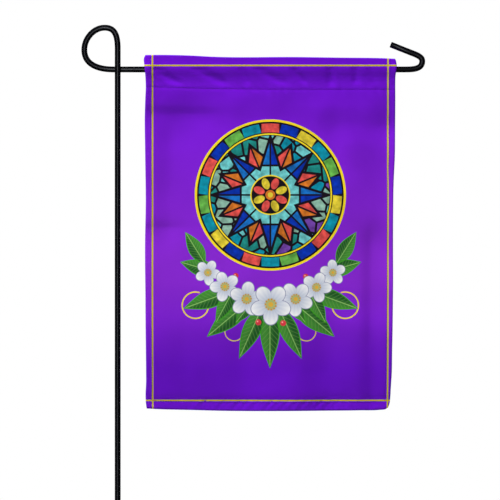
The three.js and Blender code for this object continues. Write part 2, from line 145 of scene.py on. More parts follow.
# Soft folds: x0, down0, x1, down1, spread on the upper or left side, spread on the other, depth (a trough
# is positive). Past its ends each fades over FOLD_END times its mean spread. The panel's folds set in
# between FOLDS_FREE times the seam's depth.
FOLD_END = 1.6
FOLDS_FREE = (0.9, 2.0)
PANEL_FOLDS = [
    (30, 57, 108, 59, 9, 18, 1.6),
    (285, 76, 362, 77, 15, 18, 1.6),
    (28, 207, 60, 206, 8, 30, 1.3),
    (290, 188, 360, 186, 28, 34, -1.5),
    (36, 428, 350, 428, 7, 4, 0.5),
    (88, 30, 90, 46, 16, 18, 1.0),
    (150, 28, 152, 52, 15, 15, -0.9),
    (222, 28, 220, 50, 16, 16, 0.8),
    (264, 28, 264, 72, 20, 18, -1.8),
    (306, 30, 308, 54, 14, 14, 0.9),
    (71, 95, 69, 188, 17, 38, 2.8),
    (300, 84, 300, 132, 24, 30, -3.0),
    (328, 225, 327, 318, 10, 20, 2.6),
    (190, 190, 195, 300, 70, 70, -3.4),
    (85, 352, 83, 420, 14, 14, 0.9),
    (162, 352, 163, 425, 24, 28, 2.4),
    (230, 362, 232, 425, 24, 22, -2.2),
    (274, 350, 272, 425, 20, 20, 1.4),
    (308, 345, 308, 425, 12, 12, -0.5),
    (328, 350, 328, 425, 9, 13, 1.2),
    (182, 441, 212, 441, 42, 20, -3.5),
]

# Small curls of the cloth's edges, and the slanted drag lines in the sleeve, in the same columns
EDGE_CURLS = [
    (34, 28, 34, 54, 9, 10, -1.6),
    (34, 0, 34, 20, 8, 9, -1.5),
    (358, 90, 358, 280, 12, 9, -1.3),
    (60, 441, 130, 441, 8, 8, 0.4),
]
SLEEVE_FOLDS = [
    (50, -1, 78, 20, 5, 5, 1.9),
    (103, -1, 134, 17, 5, 5, 1.8),
    (160, 0, 166, 16, 4, 4, 1.2),
    (182, -1, 210, 16, 5, 5, 1.4),
    (228, 2, 238, 14, 4, 4, 1.3),
    (273, -1, 275, 20, 5, 5, 1.7),
    (305, -1, 307, 14, 4, 4, 1.3),
    (325, 0, 330, 14, 5, 5, 0.8),
]

# How deep a drag line may be over the arm, how much more below it, and where it begins and fades, the last
# as shares of the way to the seam
DRAG = {"over_arm": 1.1, "more_below": 0.9, "deepens": (3, 10), "starts": (-4, 1), "fades": (0.58, 1)}

# Faint long waves all over: length, way it runs in degrees, start of the wave in degrees, height
RIPPLES = [
    (88, 20, 40, 0.15),
    (57, 72, 150, 0.09),
    (71, 118, 260, 0.13),
    (39, 160, 10, 0.035),
    (45, 48, 310, 0.045),
]

# The groove along the seam, and small puckers along a line of stitches: x0, x1, pitch, lean of the pucker,
# reach above, reach below, depth. Those of the hem lie HEM_PUCKERS_UP above the bottom edge.
SEAM_GROOVE = {"deep": 0.3, "wide": 1.1}
HEM_PUCKERS_UP = 11.5
SEAM_PUCKERS = [
    (60, 130, 13.0, 0.5, 7, 4, 0.35),
    (130, 192, 10.0, 0.7, 8, 5, 0.75),
    (192, 345, 12.0, 0.3, 6, 6, 0.5),
]
HEM_PUCKERS = [
    (50, 100, 14.0, -0.7, 3, 8, 0.3),
    (100, 285, 10.0, -0.9, 4, 10, 1.1),
    (285, 345, 14.0, -0.6, 3, 8, 0.3),
]

# The printed border, in millimetres: two upright and two level gold lines that run out to the edges
BORDER = {"left_x": 44.6, "right_x": 348.0, "top_down": -4.8, "bottom_down": 427.3, "width": 2.0}

# The photograph's frame: what its middle looks at and how wide it is, in millimetres
VIEW = {"x": 170.3, "z": 502.1, "width": 645.0, "lens": 200.0, "sensor": 36.0}


def srgb(*levels):
    """Red, green and blue in 0 to 255 as Blender's linear colour with its alpha."""
    shares = [level / 255 for level in levels]
    return (*(s / 12.92 if s <= 0.04045 else ((s + 0.055) / 1.055) ** 2.4 for s in shares), 1.0)


def smoothstep(value, low, high):
    """0 below low, 1 above high, and a smooth rise between them."""
    share = np.clip((np.asarray(value, dtype=float) - low) / (high - low), 0, 1)
    return share * share * (3 - 2 * share)


def curve_at(table, at):
    """A short table's second list at a place in its first, on a smooth curve through its entries."""
    knots, heights = (np.array(numbers, dtype=float) for numbers in table.values())
    slopes = np.gradient(heights, knots)
    at = np.clip(np.asarray(at, dtype=float), knots[0], knots[-1])
    low = np.clip(np.searchsorted(knots, at) - 1, 0, len(knots) - 2)
    gap = knots[low + 1] - knots[low]
    share = (at - knots[low]) / gap
    rise = heights[low + 1] - heights[low]
    ease_in = (share**3 - 2 * share**2 + share) * gap * slopes[low]
    ease_out = (share**3 - share**2) * gap * slopes[low + 1]
    return heights[low] + (3 * share**2 - 2 * share**3) * rise + ease_in + ease_out


# The cloth's shape


def folds_depth(folds, x, down):
    """Depth of soft troughs and ridges, each along its own line, that fade past both ends."""
    total = np.zeros_like(x)
    for x0, down0, x1, down1, before, after, depth in folds:
        length = math.hypot(x1 - x0, down1 - down0)
        along = ((x - x0) * (x1 - x0) + (down - down0) * (down1 - down0)) / length
        across = ((down - down0) * (x1 - x0) - (x - x0) * (down1 - down0)) / length
        upright = abs(down1 - down0) > abs(x1 - x0)
        first = across > 0 if upright else across < 0
        past = np.maximum(0, np.maximum(-along, along - length)) / (FOLD_END * 0.5 * (before + after))
        total += depth * np.exp(-((across / np.where(first, before, after)) ** 2) - past**2)
    return total


def ripples_depth(x, down):
    """Faint waves that keep the cloth from lying quite flat anywhere."""
    total = np.zeros_like(x)
    for length, way, start, height in RIPPLES:
        along = x * math.cos(math.radians(way)) + down * math.sin(math.radians(way))
        total += height * np.sin(2 * math.pi * along / length + math.radians(start))
    return total


def puckers_depth(stretches, x, down, line, seed):
    """Depth of the small uneven puckers that a line of stitches pulls into the cloth."""
    draw = random.Random(seed)
    total = np.zeros_like(x)
    away = down - line
    for x0, x1, pitch, lean, above, below, depth in stretches:
        place = x0
        while place < x1:
            width = pitch * draw.uniform(0.22, 0.34)
            reach = np.where(away < 0, above, below) * draw.uniform(0.7, 1.25)
            across = (x - place - lean * away) / width
            total += depth * draw.uniform(0.4, 1.2) * np.exp(-(across**2) - (away / reach) ** 2)
            place += pitch * draw.uniform(0.7, 1.35)
    return total


def cloth_back(x, down):
    """Distance of the front layer behind the arm's axis, without its small puckers."""
    seam = curve_at(SLEEVE_SEAM, x)
    freedom = smoothstep(down / seam, *FOLDS_FREE)
    folds = folds_depth(PANEL_FOLDS, x, down) + ripples_depth(x, down)
    return curve_at(HANG, down) + freedom * folds + folds_depth(EDGE_CURLS, x, down)


def seam_dip(x, down):
    """Where stitches pull the cloth in: a groove along the seam, and the puckers of seam and bottom hem."""
    seam = curve_at(SLEEVE_SEAM, x)
    groove = SEAM_GROOVE["deep"] * np.exp(-(((down - seam) / SEAM_GROOVE["wide"]) ** 2))
    hem_line = curve_at(BOTTOM_EDGE, x) - HEM_PUCKERS_UP
    groove += puckers_depth(SEAM_PUCKERS, x, down, seam, seed=11)
    return groove + puckers_depth(HEM_PUCKERS, x, down, hem_line, seed=12)


def over_side_hem(x, down):
    """1 over the turned side hems and 0 between them."""
    inset = np.minimum(x - curve_at(LEFT_EDGE, down), curve_at(RIGHT_EDGE, down) - x)
    return 1 - smoothstep(inset, SIDE_HEM, SIDE_HEM + HEM_RAMP)


def pocket_depth(x, down):
    """How far apart the sleeve's two layers stand, to let the arm through."""
    seam = curve_at(SLEEVE_SEAM, x)
    above = np.sqrt(np.clip(1 - (down / POCKET_TOP) ** 2, 0, 1))
    below = np.clip((seam - down) / (seam - POCKET_FULL), 0, 1) ** POCKET_TAPER
    return np.where(down < 0, above, below) * (ROD_BACK - curve_at(HANG, 0))


def drag_lines(x, down):
    """Slanted troughs that the hanging weight draws into the sleeve's front layer, shallow over the arm."""
    seam = curve_at(SLEEVE_SEAM, x)
    room = DRAG["over_arm"] + DRAG["more_below"] * smoothstep(down, *DRAG["deepens"])
    ease = smoothstep(down, *DRAG["starts"]) * (1 - smoothstep(down / seam, *DRAG["fades"]))
    return room * np.tanh(folds_depth(SLEEVE_FOLDS, x, down) / room) * ease


def cloth_y(x, down, side_layer, turned, back):
    """The sheet's place from front to back. side_layer is 1 on a side hem's turned part, turned is 1 on
    the bottom hem's turned part and on the sleeve's back, and back is 1 on the sleeve's back alone."""
    over = over_side_hem(x, down)
    turned_layers = (1 + 2 * over) * (1 - side_layer) + 2 * side_layer
    layers = side_layer * (1 - turned) + turned_layers * turned
    in_pocket = smoothstep(pocket_depth(x, down), 0, HEMS_PART)
    padding = LAYER * over * in_pocket * (2 * back - 1)
    dip = seam_dip(x, down) * (1 - 0.5 * turned)
    drag = drag_lines(x, down) * (1 - back)
    middle = ARM_Y - FRONT_INSET + cloth_back(x, down)
    return middle + LAYER * layers + dip + drag + padding + pocket_depth(x, down) * back


def sheet_columns():
    """The sheet's columns from the left hem's raw edge, round the front, to the right hem's raw edge:
    share of the width, inset from the edge, and 1 on the turned part of a hem."""
    hem = np.linspace(SIDE_HEM, FOLD_INSET, HEM_STEPS["side"])
    front = np.linspace(FOLD_INSET, WIDTH - FOLD_INSET, round(WIDTH / COLUMN_PITCH))
    columns = [(0.0, inset, 1.0) for inset in hem] + [(0.0, 0.0, 0.5)]
    columns += [(place / WIDTH, 0.0, 0.0) for place in front]
    columns += [(1.0, 0.0, 0.5)] + [(1.0, -inset, 1.0) for inset in hem[::-1]]
    return columns


def sheet_rows():
    """The sheet's rows from the bottom hem's raw edge, up the front, over the top fold and down the back
    to the sleeve's raw edge: the line that a row is measured from, its place from there, 1 where it is
    turned, and 1 on the sleeve's back."""
    hem = np.linspace(BOTTOM_HEM, FOLD_INSET, HEM_STEPS["bottom"])
    rows = [("bottom", inset, 1.0, 0.0) for inset in hem]
    rows.append(("bottom", 0.0, 0.5, 0.0))
    shares = np.linspace(0, 1, round(PANEL_HEIGHT / PANEL_PITCH))
    rows += [("panel", share, 0.0, 0.0) for share in shares]
    shares = np.linspace(0, 1, round(SLEEVE_HEIGHT / SLEEVE_PITCH))
    rows += [("sleeve", share, 0.0, 0.0) for share in shares[1:]]
    rows.append(("top", 0.0, 0.5, 0.5))
    rows += [("sleeve", share, 1.0, 1.0) for share in shares[::-1]]
    rows += [("flap", share, 1.0, 1.0) for share in (0.5, 1.0)]
    return rows


def row_down(kind, place, column_x):
    """Distance below the arm's axis of a row, in columns at these x."""
    bottom = curve_at(BOTTOM_EDGE, column_x)
    top = curve_at(TOP_FOLD, column_x)
    seam = curve_at(SLEEVE_SEAM, column_x)
    if kind == "bottom":
        return bottom - place
    if kind == "panel":
        return (bottom - FOLD_INSET) * (1 - place) + seam * place
    if kind == "sleeve":
        return seam * (1 - place) + (top + FOLD_INSET) * place
    if kind == "flap":
        return seam + FLAP_BELOW_SEAM * place
    return top


def add_object(name, data):
    """A mesh, lamp or camera, put into the scene."""
    obj = bpy.data.objects.new(name, data)
    bpy.context.collection.objects.link(obj)
    return obj


def mesh_object(name, vertices, faces):
    """A smooth mesh object from points in metres."""
    mesh = bpy.data.meshes.new(name)
    mesh.from_pydata([tuple(v) for v in vertices], [], [tuple(f) for f in faces])
    mesh.validate()
    mesh.polygons.foreach_set("use_smooth", [True] * len(mesh.polygons))
    return add_object(name, mesh)


def shape_object(name, shape):
    """A mesh object from a finished bmesh."""
    mesh = bpy.data.meshes.new(name)
    shape.to_mesh(mesh)
    shape.free()
    return add_object(name, mesh)


def add_tube(vertices, faces, points, radii, sides):
    """Adds a closed round tube along points in millimetres, with rings carried along without twisting."""
    first, rings = len(vertices), len(points)
    across = (points[1] - points[0]).normalized().orthogonal()
    for index, (point, radius) in enumerate(zip(points, radii)):
        tangent = (points[min(index + 1, rings - 1)] - points[max(index - 1, 0)]).normalized()
        across = (across - tangent * across.dot(tangent)).normalized()
        other = tangent.cross(across)
        for side in range(sides):
            angle = 2 * math.pi * side / sides
            reach = across * math.cos(angle) + other * math.sin(angle)
            vertices.append((point + reach * radius) * MM)
    for ring in range(rings - 1):
        low = first + ring * sides
        for side in range(sides):
            nxt = (side + 1) % sides
            faces.append((low + side, low + nxt, low + sides + nxt, low + sides + side))
    last = len(vertices) - sides
    faces.append(tuple(first + side for side in reversed(range(sides))))
    faces.append(tuple(last + side for side in range(sides)))


def make_cloth():
    """The flag: one sheet with turned hems and a folded sleeve, and its print's coordinates as a UV map."""
    columns = sheet_columns()
    share, inset, side_layer = np.array(columns).T
    points = []
    prints = []
    for kind, place, turned, back in sheet_rows():
        # x and down depend on each other, so they settle in three passes from a first guess.
        down = np.full(len(columns), 200.0)
        for _ in range(3):
            left = curve_at(LEFT_EDGE, down)
            right = curve_at(RIGHT_EDGE, down)
            x = left + share * (right - left) + inset
            down = row_down(kind, place, x)
        y = cloth_y(x, down, side_layer, turned, back)
        edge_x = np.where(share < 0.5, left, right)
        print_x = np.where(side_layer == 1, 2 * edge_x - x, x)
        bottom = curve_at(BOTTOM_EDGE, x)
        top = curve_at(TOP_FOLD, x)
        print_down = np.where(back > 0, 2 * top - down, np.where(turned > 0, 2 * bottom - down, down))
        points.append(np.stack([x, y, ARM_HEIGHT - down], axis=1) * MM)
        prints.append(np.stack([print_x, print_down], axis=1) * MM)
    count = len(columns)
    faces = []
    for row in range(len(points) - 1):
        for column in range(count - 1):
            first = row * count + column
            faces.append((first, first + 1, first + 1 + count, first + count))
    cloth = mesh_object("flag_sheet", np.concatenate(points), faces)
    flat = np.concatenate(prints)
    layer = cloth.data.uv_layers.new(name="print")
    corners = np.empty(len(cloth.data.loops), dtype=np.int32)
    cloth.data.loops.foreach_get("vertex_index", corners)
    layer.data.foreach_set("uv", flat[corners].ravel())
    return cloth


# Stitching


# A stitch: its sizes in millimetres, and its radius along it, which draws in at both ends
STITCH = {"length": 2.5, "gap": 0.8, "radius": 0.2, "proud": 0.14}
STITCH_FORM = [(0.0, 0.45), (0.22, 1.0), (0.78, 1.0), (1.0, 0.45)]
STITCH_SIDES = 6
STITCH_INSET = {"side": 7.6, "bottom": 10.9}

# Each line of stitches runs from one place to another along its seam, in millimetres
STITCH_LINES = [
    ("seam", 37.0, 356.0),
    ("bottom", 44.0, 343.0),
    ("left", -16.0, 426.0),
    ("right", -12.0, 426.0),
]


def stitch_path(kind, place):
    """x and down of a line of stitches at places along it."""
    if kind == "seam":
        return place, curve_at(SLEEVE_SEAM, place)
    if kind == "bottom":
        return place, curve_at(BOTTOM_EDGE, place) - STITCH_INSET["bottom"]
    if kind == "left":
        return curve_at(LEFT_EDGE, place) + STITCH_INSET["side"], place
    return curve_at(RIGHT_EDGE, place) - STITCH_INSET["side"], place


def stitch_points(kind, place, face):
    """Where the thread lies on the cloth: face is -1 on the front and 1 on the back."""
    x, down = stitch_path(kind, place)
    none = np.zeros_like(x)
    proud = SHEET / 2 + STITCH["proud"]
    sleeve_back = down < curve_at(SLEEVE_SEAM, x) + FLAP_BELOW_SEAM
    if face < 0:
        y = cloth_y(x, down, none, none, none) - proud
    elif kind == "bottom":
        y = cloth_y(x, down, none, none + 1, none) + proud
    else:
        doubled = cloth_y(x, down, none, none + 1, none + 1)
        y = np.where(sleeve_back, doubled, cloth_y(x, down, none + 1, none, none)) + proud
    return [Vector(point) for point in zip(x, y, ARM_HEIGHT - down)]


def make_stitching():
    """Every line of stitches as one mesh: the top thread on the front and the bobbin thread on the back."""
    vertices, faces = [], []
    radii = [STITCH["radius"] * size for _, size in STITCH_FORM]
    for kind, start, end in STITCH_LINES:
        first = np.arange(start, end - STITCH["length"], STITCH["length"] + STITCH["gap"])
        for face in (-1, 1):
            starts = stitch_points(kind, first, face)
            ends = stitch_points(kind, first + STITCH["length"], face)
            for a, b in zip(starts, ends):
                points = [a.lerp(b, share) for share, _ in STITCH_FORM]
                add_tube(vertices, faces, points, radii, STITCH_SIDES)
    return mesh_object("stitching", vertices, faces)


# The stand


def bend(first, leave, last, reach):
    """Points of one bend after its first. leave and reach are its handles, from its two ends."""
    leave = first + Vector(leave)
    reach = last + Vector(reach)
    points = []
    for step in range(1, BEND_STEPS + 1):
        t = step / BEND_STEPS
        s = 1 - t
        points.append(first * s**3 + leave * 3 * s * s * t + reach * 3 * s * t * t + last * t**3)
    return points


def stand_point(x, y, up):
    return Vector((x, y, ARM_HEIGHT + up))


def stand_path():
    """The wire's axis in millimetres: up the pole, round the loop, behind the pole, along the arm, back."""
    half = ARM_Y / 2
    tip = Vector((0, 0, -STAKE_DEPTH))
    loop_start = stand_point(0, 0, LOOP["start_up"])
    loop_top = stand_point(LOOP["top_x"], 0, LOOP["top_up"])
    loop_side = stand_point(LOOP["side_x"], half, LOOP["side_up"])
    loop_end = stand_point(LOOP["end_x"], ARM_Y, 0)
    hook_start = stand_point(HOOK["start_x"], ARM_Y, 0)
    hook_side = stand_point(HOOK["side_x"], ARM_Y, HOOK["side_up"])
    hook_back = stand_point(HOOK["back_x"], ARM_Y, HOOK["back_up"])
    hook_tip = stand_point(HOOK["tip_x"], ARM_Y, HOOK["tip_up"])
    backward = (hook_tip - hook_back).normalized()
    slant = 0.4 * half
    path = [tip, loop_start]
    path += bend(loop_start, (0, 0, LOOP_EASE["leave_pole"]), loop_top, (LOOP_EASE["reach_top"], 0, 0))
    path += bend(loop_top, (-LOOP_EASE["leave_top"], 0, 0), loop_side, (0, -slant, LOOP_EASE["reach_side"]))
    path += bend(loop_side, (0, slant, -LOOP_EASE["leave_side"]), loop_end, (-LOOP_EASE["reach_arm"], 0, 0))
    path.append(hook_start)
    path += bend(hook_start, (HOOK_EASE["leave_arm"], 0, 0), hook_side, (0, 0, -HOOK_EASE["reach_side"]))
    path += bend(hook_side, (0, 0, HOOK_EASE["leave_side"]), hook_back, -backward * HOOK_EASE["reach_back"])
    path.append(hook_tip)
    return path


def with_ends(path, round_by):
    """A path and its radii in millimetres, with its two ends rounded over by a share of the radius."""
    start_way = (path[1] - path[0]).normalized() * WIRE_RADIUS
    end_way = (path[-1] - path[-2]).normalized() * WIRE_RADIUS
    eases = [(0.0, 1 - round_by), (round_by * 0.45, 1 - round_by * 0.35), (round_by * 1.1, 1.0)]
    starts = [path[0] + start_way * along for along, _ in eases]
    ends = [path[-1] - end_way * along for along, _ in reversed(eases)]
    radii = [WIRE_RADIUS * size for _, size in eases]
    return starts + path[1:-1] + ends, radii + [WIRE_RADIUS] * (len(path) - 2) + radii[::-1]


def sweep(name, points, radii, sides=WIRE_SIDES):
    """A closed round tube along points in millimetres."""
    vertices, faces = [], []
    add_tube(vertices, faces, points, radii, sides)
    return mesh_object(name, vertices, faces)


def cut_tip(obj, x):
    """The slanted cut that leaves a wire's lower end pointed."""
    angle = math.radians(STAKE_TIP_ANGLE)
    shape = bmesh.new()
    shape.from_mesh(obj.data)
    bmesh.ops.bisect_plane(
        shape,
        geom=shape.verts[:] + shape.edges[:] + shape.faces[:],
        plane_co=Vector((x + STAKE_TIP_X, 0, -STAKE_DEPTH)) * MM,
        plane_no=Vector((-math.cos(angle), 0, -math.sin(angle))),
        clear_outer=True,
    )
    rim = [edge for edge in shape.edges if edge.is_boundary]
    bmesh.ops.contextual_create(shape, geom=rim)
    bmesh.ops.recalc_face_normals(shape, faces=shape.faces[:])
    shape.to_mesh(obj.data)
    shape.free()


def prong_path():
    return [Vector((PRONG_X, 0, -STAKE_DEPTH)), Vector((PRONG_X, 0, STEP_BAR["thick"] * 0.5))]


def make_wire(name, path, rounding):
    """A wire along a path from its stake's tip, with rounded ends and the tip cut to a point."""
    wire = sweep(name, *with_ends(path, rounding))
    cut_tip(wire, path[0].x)
    wire.data.set_sharp_from_angle(angle=SHARP_ANGLE)
    return wire


def make_step_bar():
    """The flat bar between the pole and the prong, with eased edges."""
    start = WIRE_RADIUS + PIECE_GAP
    shape = bmesh.new()
    size = Vector((STEP_BAR["reach"] - start, STEP_BAR["width"], STEP_BAR["thick"])) * MM
    middle = Vector(((STEP_BAR["reach"] + start) / 2, 0, STEP_BAR["thick"] / 2)) * MM
    bmesh.ops.create_cube(shape, size=1, matrix=Matrix.Translation(middle) @ Matrix.Diagonal((*size, 1)))
    bmesh.ops.bevel(
        shape, geom=shape.edges[:], offset=STEP_BAR["edge"] * MM, segments=4, profile=0.5, affect="EDGES"
    )
    bar = shape_object("step_bar", shape)
    bar.data.polygons.foreach_set("use_smooth", [True] * len(bar.data.polygons))
    bar.data.set_sharp_from_angle(angle=SHARP_ANGLE)
    return bar


def make_welds():
    """Rippled weld beads where the bar meets the pole, above and below, and where it meets the prong."""
    beads = []
    spots = [
        ("pole_top", 0.0, STEP_BAR["thick"], -75, 75),
        ("pole_under", 0.0, 0.0, -75, 75),
        ("prong_under", PRONG_X, 0.0, 0, 355),
    ]
    for label, x, z, start, end in spots:
        draw = random.Random(len(label))
        points, radii = [], []
        for step in range(WELD["steps"] + 1):
            angle = math.radians(start + (end - start) * step / WELD["steps"])
            reach = WIRE_RADIUS + WELD["radius"] * WELD["off_wire"]
            points.append(Vector((x + math.cos(angle) * reach, math.sin(angle) * reach, z)))
            ripple = 1 - WELD["ripple"] + WELD["ripple"] * abs(math.sin(step * WELD["ripple_turn"]))
            ripple += draw.uniform(-WELD["uneven"], WELD["uneven"])
            end_ease = min(1.0, 0.35 + 0.25 * min(step, WELD["steps"] - step))
            radii.append(WELD["radius"] * ripple * end_ease)
        beads.append(sweep("weld_" + label, points, radii, sides=12))
    return beads


# Shader maths


def add_node(tree, kind, inputs, **settings):
    """A node with these settings. Each input is a number, a colour or another node's socket."""
    node = tree.nodes.new("ShaderNode" + kind)
    for name, value in settings.items():
        setattr(node, name, value)
    for name, value in inputs.items():
        if isinstance(value, bpy.types.NodeSocket):
            tree.links.new(value, node.inputs[name])
        else:
            node.inputs[name].default_value = value
    return node


class Field:
    """A number that varies over a surface, so that a pattern can be written as plain maths."""

    def __init__(self, tree, socket):
        self.tree = tree
        self.socket = socket

    def maths(self, operation, *others, clamp=False):
        values = [value.socket if isinstance(value, Field) else value for value in (self, *others)]
        node = add_node(self.tree, "Math", dict(enumerate(values)), operation=operation, use_clamp=clamp)
        return Field(self.tree, node.outputs[0])

    def __add__(self, other):
        return self.maths("ADD", other)

    __radd__ = __add__

    def __sub__(self, other):
        return self.maths("SUBTRACT", other)

    def __rsub__(self, other):
        return (self * -1.0) + other

    def __mul__(self, other):
        return self.maths("MULTIPLY", other)

    __rmul__ = __mul__

    def __truediv__(self, other):
        return self.maths("DIVIDE", other)

    def __abs__(self):
        return self.maths("ABSOLUTE")

    def __pow__(self, other):
        return self.maths("POWER", other)

    def max(self, other):
        return self.maths("MAXIMUM", other)

    def sin(self):
        return self.maths("SINE")

    def cos(self):
        return self.maths("COSINE")

    def floor(self):
        return self.maths("FLOOR")

    def wrap(self, length):
        return self.maths("FLOORED_MODULO", length)

    def above(self, edge, soft=0.3):
        """1 where this is more than edge and 0 where it is less."""
        return ((self - edge) / soft).maths("ADD", 0.5, clamp=True)

    def below(self, edge, soft=0.3):
        """1 where this is less than edge and 0 where it is more."""
        return self.above(edge, -soft)


def length_of(x, y):
    return (x * x + y * y).maths("SQRT")


def folded(x, y, count, offset=0.0):
    """A place folded into one of equal sectors: distance along the sector's middle and across it, and the
    sector's number."""
    radius = length_of(x, y)
    turns = y.maths("ARCTAN2", x) * (count / (2 * math.pi)) + (0.5 + offset)
    number = turns.floor()
    angle = (turns - number - 0.5) * (2 * math.pi / count)
    return radius * angle.cos(), radius * angle.sin(), number


def paint(tree, under, colour, mask):
    """Colour laid over what is under it where the mask is 1. Either is a colour or a socket."""
    node = add_node(tree, "Mix", {0: mask.socket, 6: under, 7: colour}, data_type="RGBA")
    return node.outputs[2]


def tinted(tree, colour, amount):
    """A colour made lighter or darker by a field around 1."""
    base = colour[:3] if isinstance(colour, tuple) else colour
    return add_node(tree, "VectorMath", {0: base, "Scale": amount.socket}, operation="SCALE").outputs[0]


def place_vector(tree, x, y):
    return add_node(tree, "CombineXYZ", {0: x.socket, 1: y.socket}).outputs[0]


def mottle(tree, x, y, size, low, high, detail=3.0):
    """Soft uneven light and dark, between low and high, with patches of this size."""
    inputs = {"Scale": 1 / size, "Detail": detail, "Vector": place_vector(tree, x, y)}
    noise = add_node(tree, "TexNoise", inputs, noise_dimensions="2D")
    return Field(tree, noise.outputs["Fac"]) * (2 * (high - low)) + (1.5 * low - 0.5 * high)


# The print, drawn in millimetres on the flat cloth. Colours are those of a stained-glass garden print.
# The ground carries a painted sheen in the middle, where the light falls brightest: where the sheen is half
# as strong, and over what height it comes and goes.
GROUND = srgb(112, 12, 214)
PAINTED_SHEEN = srgb(139, 40, 214)
SHEEN_RISE = (120, 240)
SHEEN_FALL = (330, 110)
GOLD = srgb(212, 192, 30)
BRIGHT_GOLD = srgb(252, 224, 40)
LEAD = srgb(24, 16, 26)
GLASS = {
    "deep": srgb(4, 50, 172),
    "blue": srgb(24, 112, 196),
    "teal": srgb(10, 146, 170),
    "aqua": srgb(112, 204, 204),
    "sea": srgb(30, 138, 130),
    "sage": srgb(140, 184, 164),
    "coral": srgb(226, 82, 76),
    "rose": srgb(172, 80, 118),
    "amber": srgb(214, 118, 38),
    "lemon": srgb(228, 206, 56),
    "lime": srgb(104, 180, 76),
    "violet": srgb(116, 68, 168),
}

MEDALLION = {"x": 196.5, "down": 162.0, "radius": 96.0, "ring": 3.0, "inner_ring": 1.8}
STAR = {"points": 8, "tip": 76.0, "notch": 35.0, "foot": 38.0}
INNER_STAR = {"tip": 70.0, "notch": 43.0, "foot": 34.29}
BAND = {"inner": 78.5, "outer": 92.3, "panes": 22, "inner_lead": 2.2, "side_lead": 1.9}
HEART = {
    "radius": 25.0,
    "ring": 1.6,
    "petals": 8,
    "petals_at": 15.5,
    "petal": (7.4, 4.7),
    "boss": 6.3,
    "eye": 3.4,
}
CRACKLE_SIZE = 17.0
LEAD_WIDTH = 3.2

# Leaves of the spray below the medallion: x, down, way it points in degrees from +x, length, half width
LEAVES = [
    (196, 300, 90, 86, 13),
    (186, 306, 114, 74, 12),
    (207, 306, 66, 74, 12),
    (168, 300, 140, 70, 13),
    (226, 300, 40, 70, 13),
    (146, 286, 160, 66, 12),
    (248, 286, 20, 66, 12),
    (128, 262, 196, 50, 11),
    (266, 262, -16, 50, 11),
    (112, 250, 238, 48, 10),
    (282, 250, -58, 48, 10),
    (150, 282, 118, 52, 10),
    (244, 282, 62, 52, 10),
    (176, 296, 128, 40, 8),
    (218, 296, 52, 40, 8),
]

# Blossoms, the further ones first: x, down, radius, turn in degrees
BLOSSOMS = [
    (116, 262, 17, 10),
    (277, 262, 17, 50),
    (138, 280, 20, 34),
    (256, 281, 20, 2),
    (166, 296, 23, 62),
    (229, 296, 23, 20),
    (197, 303, 27, 18),
]

# Berries and gold tendrils between them: x, down, radius
BERRIES = [
    (152, 266, 3.6),
    (242, 267, 3.6),
    (181, 326, 3.8),
    (213, 327, 3.8),
    (124, 282, 3.2),
    (270, 283, 3.2),
]
TENDRILS = [(100, 304, 17), (293, 304, 17), (150, 338, 12), (243, 338, 12)]


def glass_pane(tree, under, colour, mask, grain):
    """A pane of mottled glass laid over what is under it."""
    return paint(tree, under, tinted(tree, colour, grain), mask)


def medallion_layer(tree, under, x, y):
    """A ringed medallion of glass panes and two eight-pointed stars, in black leading and gold rings."""
    x = x - MEDALLION["x"]
    y = y - MEDALLION["down"]
    radius = length_of(x, y)
    grain = mottle(tree, x, y, 8.0, 0.6, 1.3)
    colour = paint(tree, under, LEAD, radius.below(MEDALLION["radius"]))
    colour = crackle_layer(tree, colour, x, y, radius.below(BAND["inner"] - 2), grain)
    colour = star_layer(tree, colour, x, y, INNER_STAR, 0.5, ("coral", "amber", "rose"), grain)
    colour = star_layer(tree, colour, x, y, STAR, 0.0, ("blue", "deep", "aqua"), grain)
    colour = heart_layer(tree, colour, x, y, radius, grain)
    colour = band_layer(tree, colour, x, y, radius, grain)
    ring = abs(radius - MEDALLION["radius"]).below(MEDALLION["ring"] / 2)
    colour = paint(tree, colour, BRIGHT_GOLD, ring)
    inner_ring = abs(radius - BAND["inner"]).below(MEDALLION["inner_ring"] / 2)
    return paint(tree, colour, BRIGHT_GOLD, inner_ring)


def crackle_layer(tree, under, x, y, mask, grain):
    """Irregular panes of sea greens behind the star, parted by thin leading."""
    inputs = {"Scale": 1 / CRACKLE_SIZE, "Vector": place_vector(tree, x, y)}
    cells = add_node(tree, "TexVoronoi", inputs, voronoi_dimensions="2D")
    edges = add_node(tree, "TexVoronoi", inputs, voronoi_dimensions="2D", feature="DISTANCE_TO_EDGE")
    pick = Field(tree, add_node(tree, "SeparateColor", {0: cells.outputs["Color"]}).outputs[0])
    colour = GLASS["teal"]
    for name, share in (("sea", 0.3), ("sage", 0.52), ("aqua", 0.72), ("violet", 0.88)):
        colour = paint(tree, colour, GLASS[name], pick.above(share, 0.01))
    pane = Field(tree, edges.outputs["Distance"]).above(0.085, 0.02)
    return glass_pane(tree, under, colour, mask * pane, grain)


def star_layer(tree, under, x, y, star, offset, colours, grain):
    """A faceted star: each point has a light and a dark half, and its foot is of a third glass."""
    count = STAR["points"]
    along, across, _ = folded(x, y, count, offset)
    half = math.pi / count
    tip = star["tip"]
    notch = Vector((star["notch"] * math.cos(half), star["notch"] * math.sin(half)))
    edge = (notch - Vector((tip, 0))).normalized()
    outside = (along - tip) * edge.y + abs(across) * -edge.x
    colour = paint(tree, under, LEAD, outside.below(LEAD_WIDTH / 2))
    pane = outside.below(-LEAD_WIDTH / 2) * abs(across).above(LEAD_WIDTH * 0.36)
    halves = paint(tree, GLASS[colours[0]], GLASS[colours[1]], across.above(0))
    halves = paint(tree, halves, GLASS[colours[2]], along.below(star["foot"]))
    pane = pane * abs(along - star["foot"]).above(LEAD_WIDTH * 0.4)
    return glass_pane(tree, colour, halves, pane, grain)


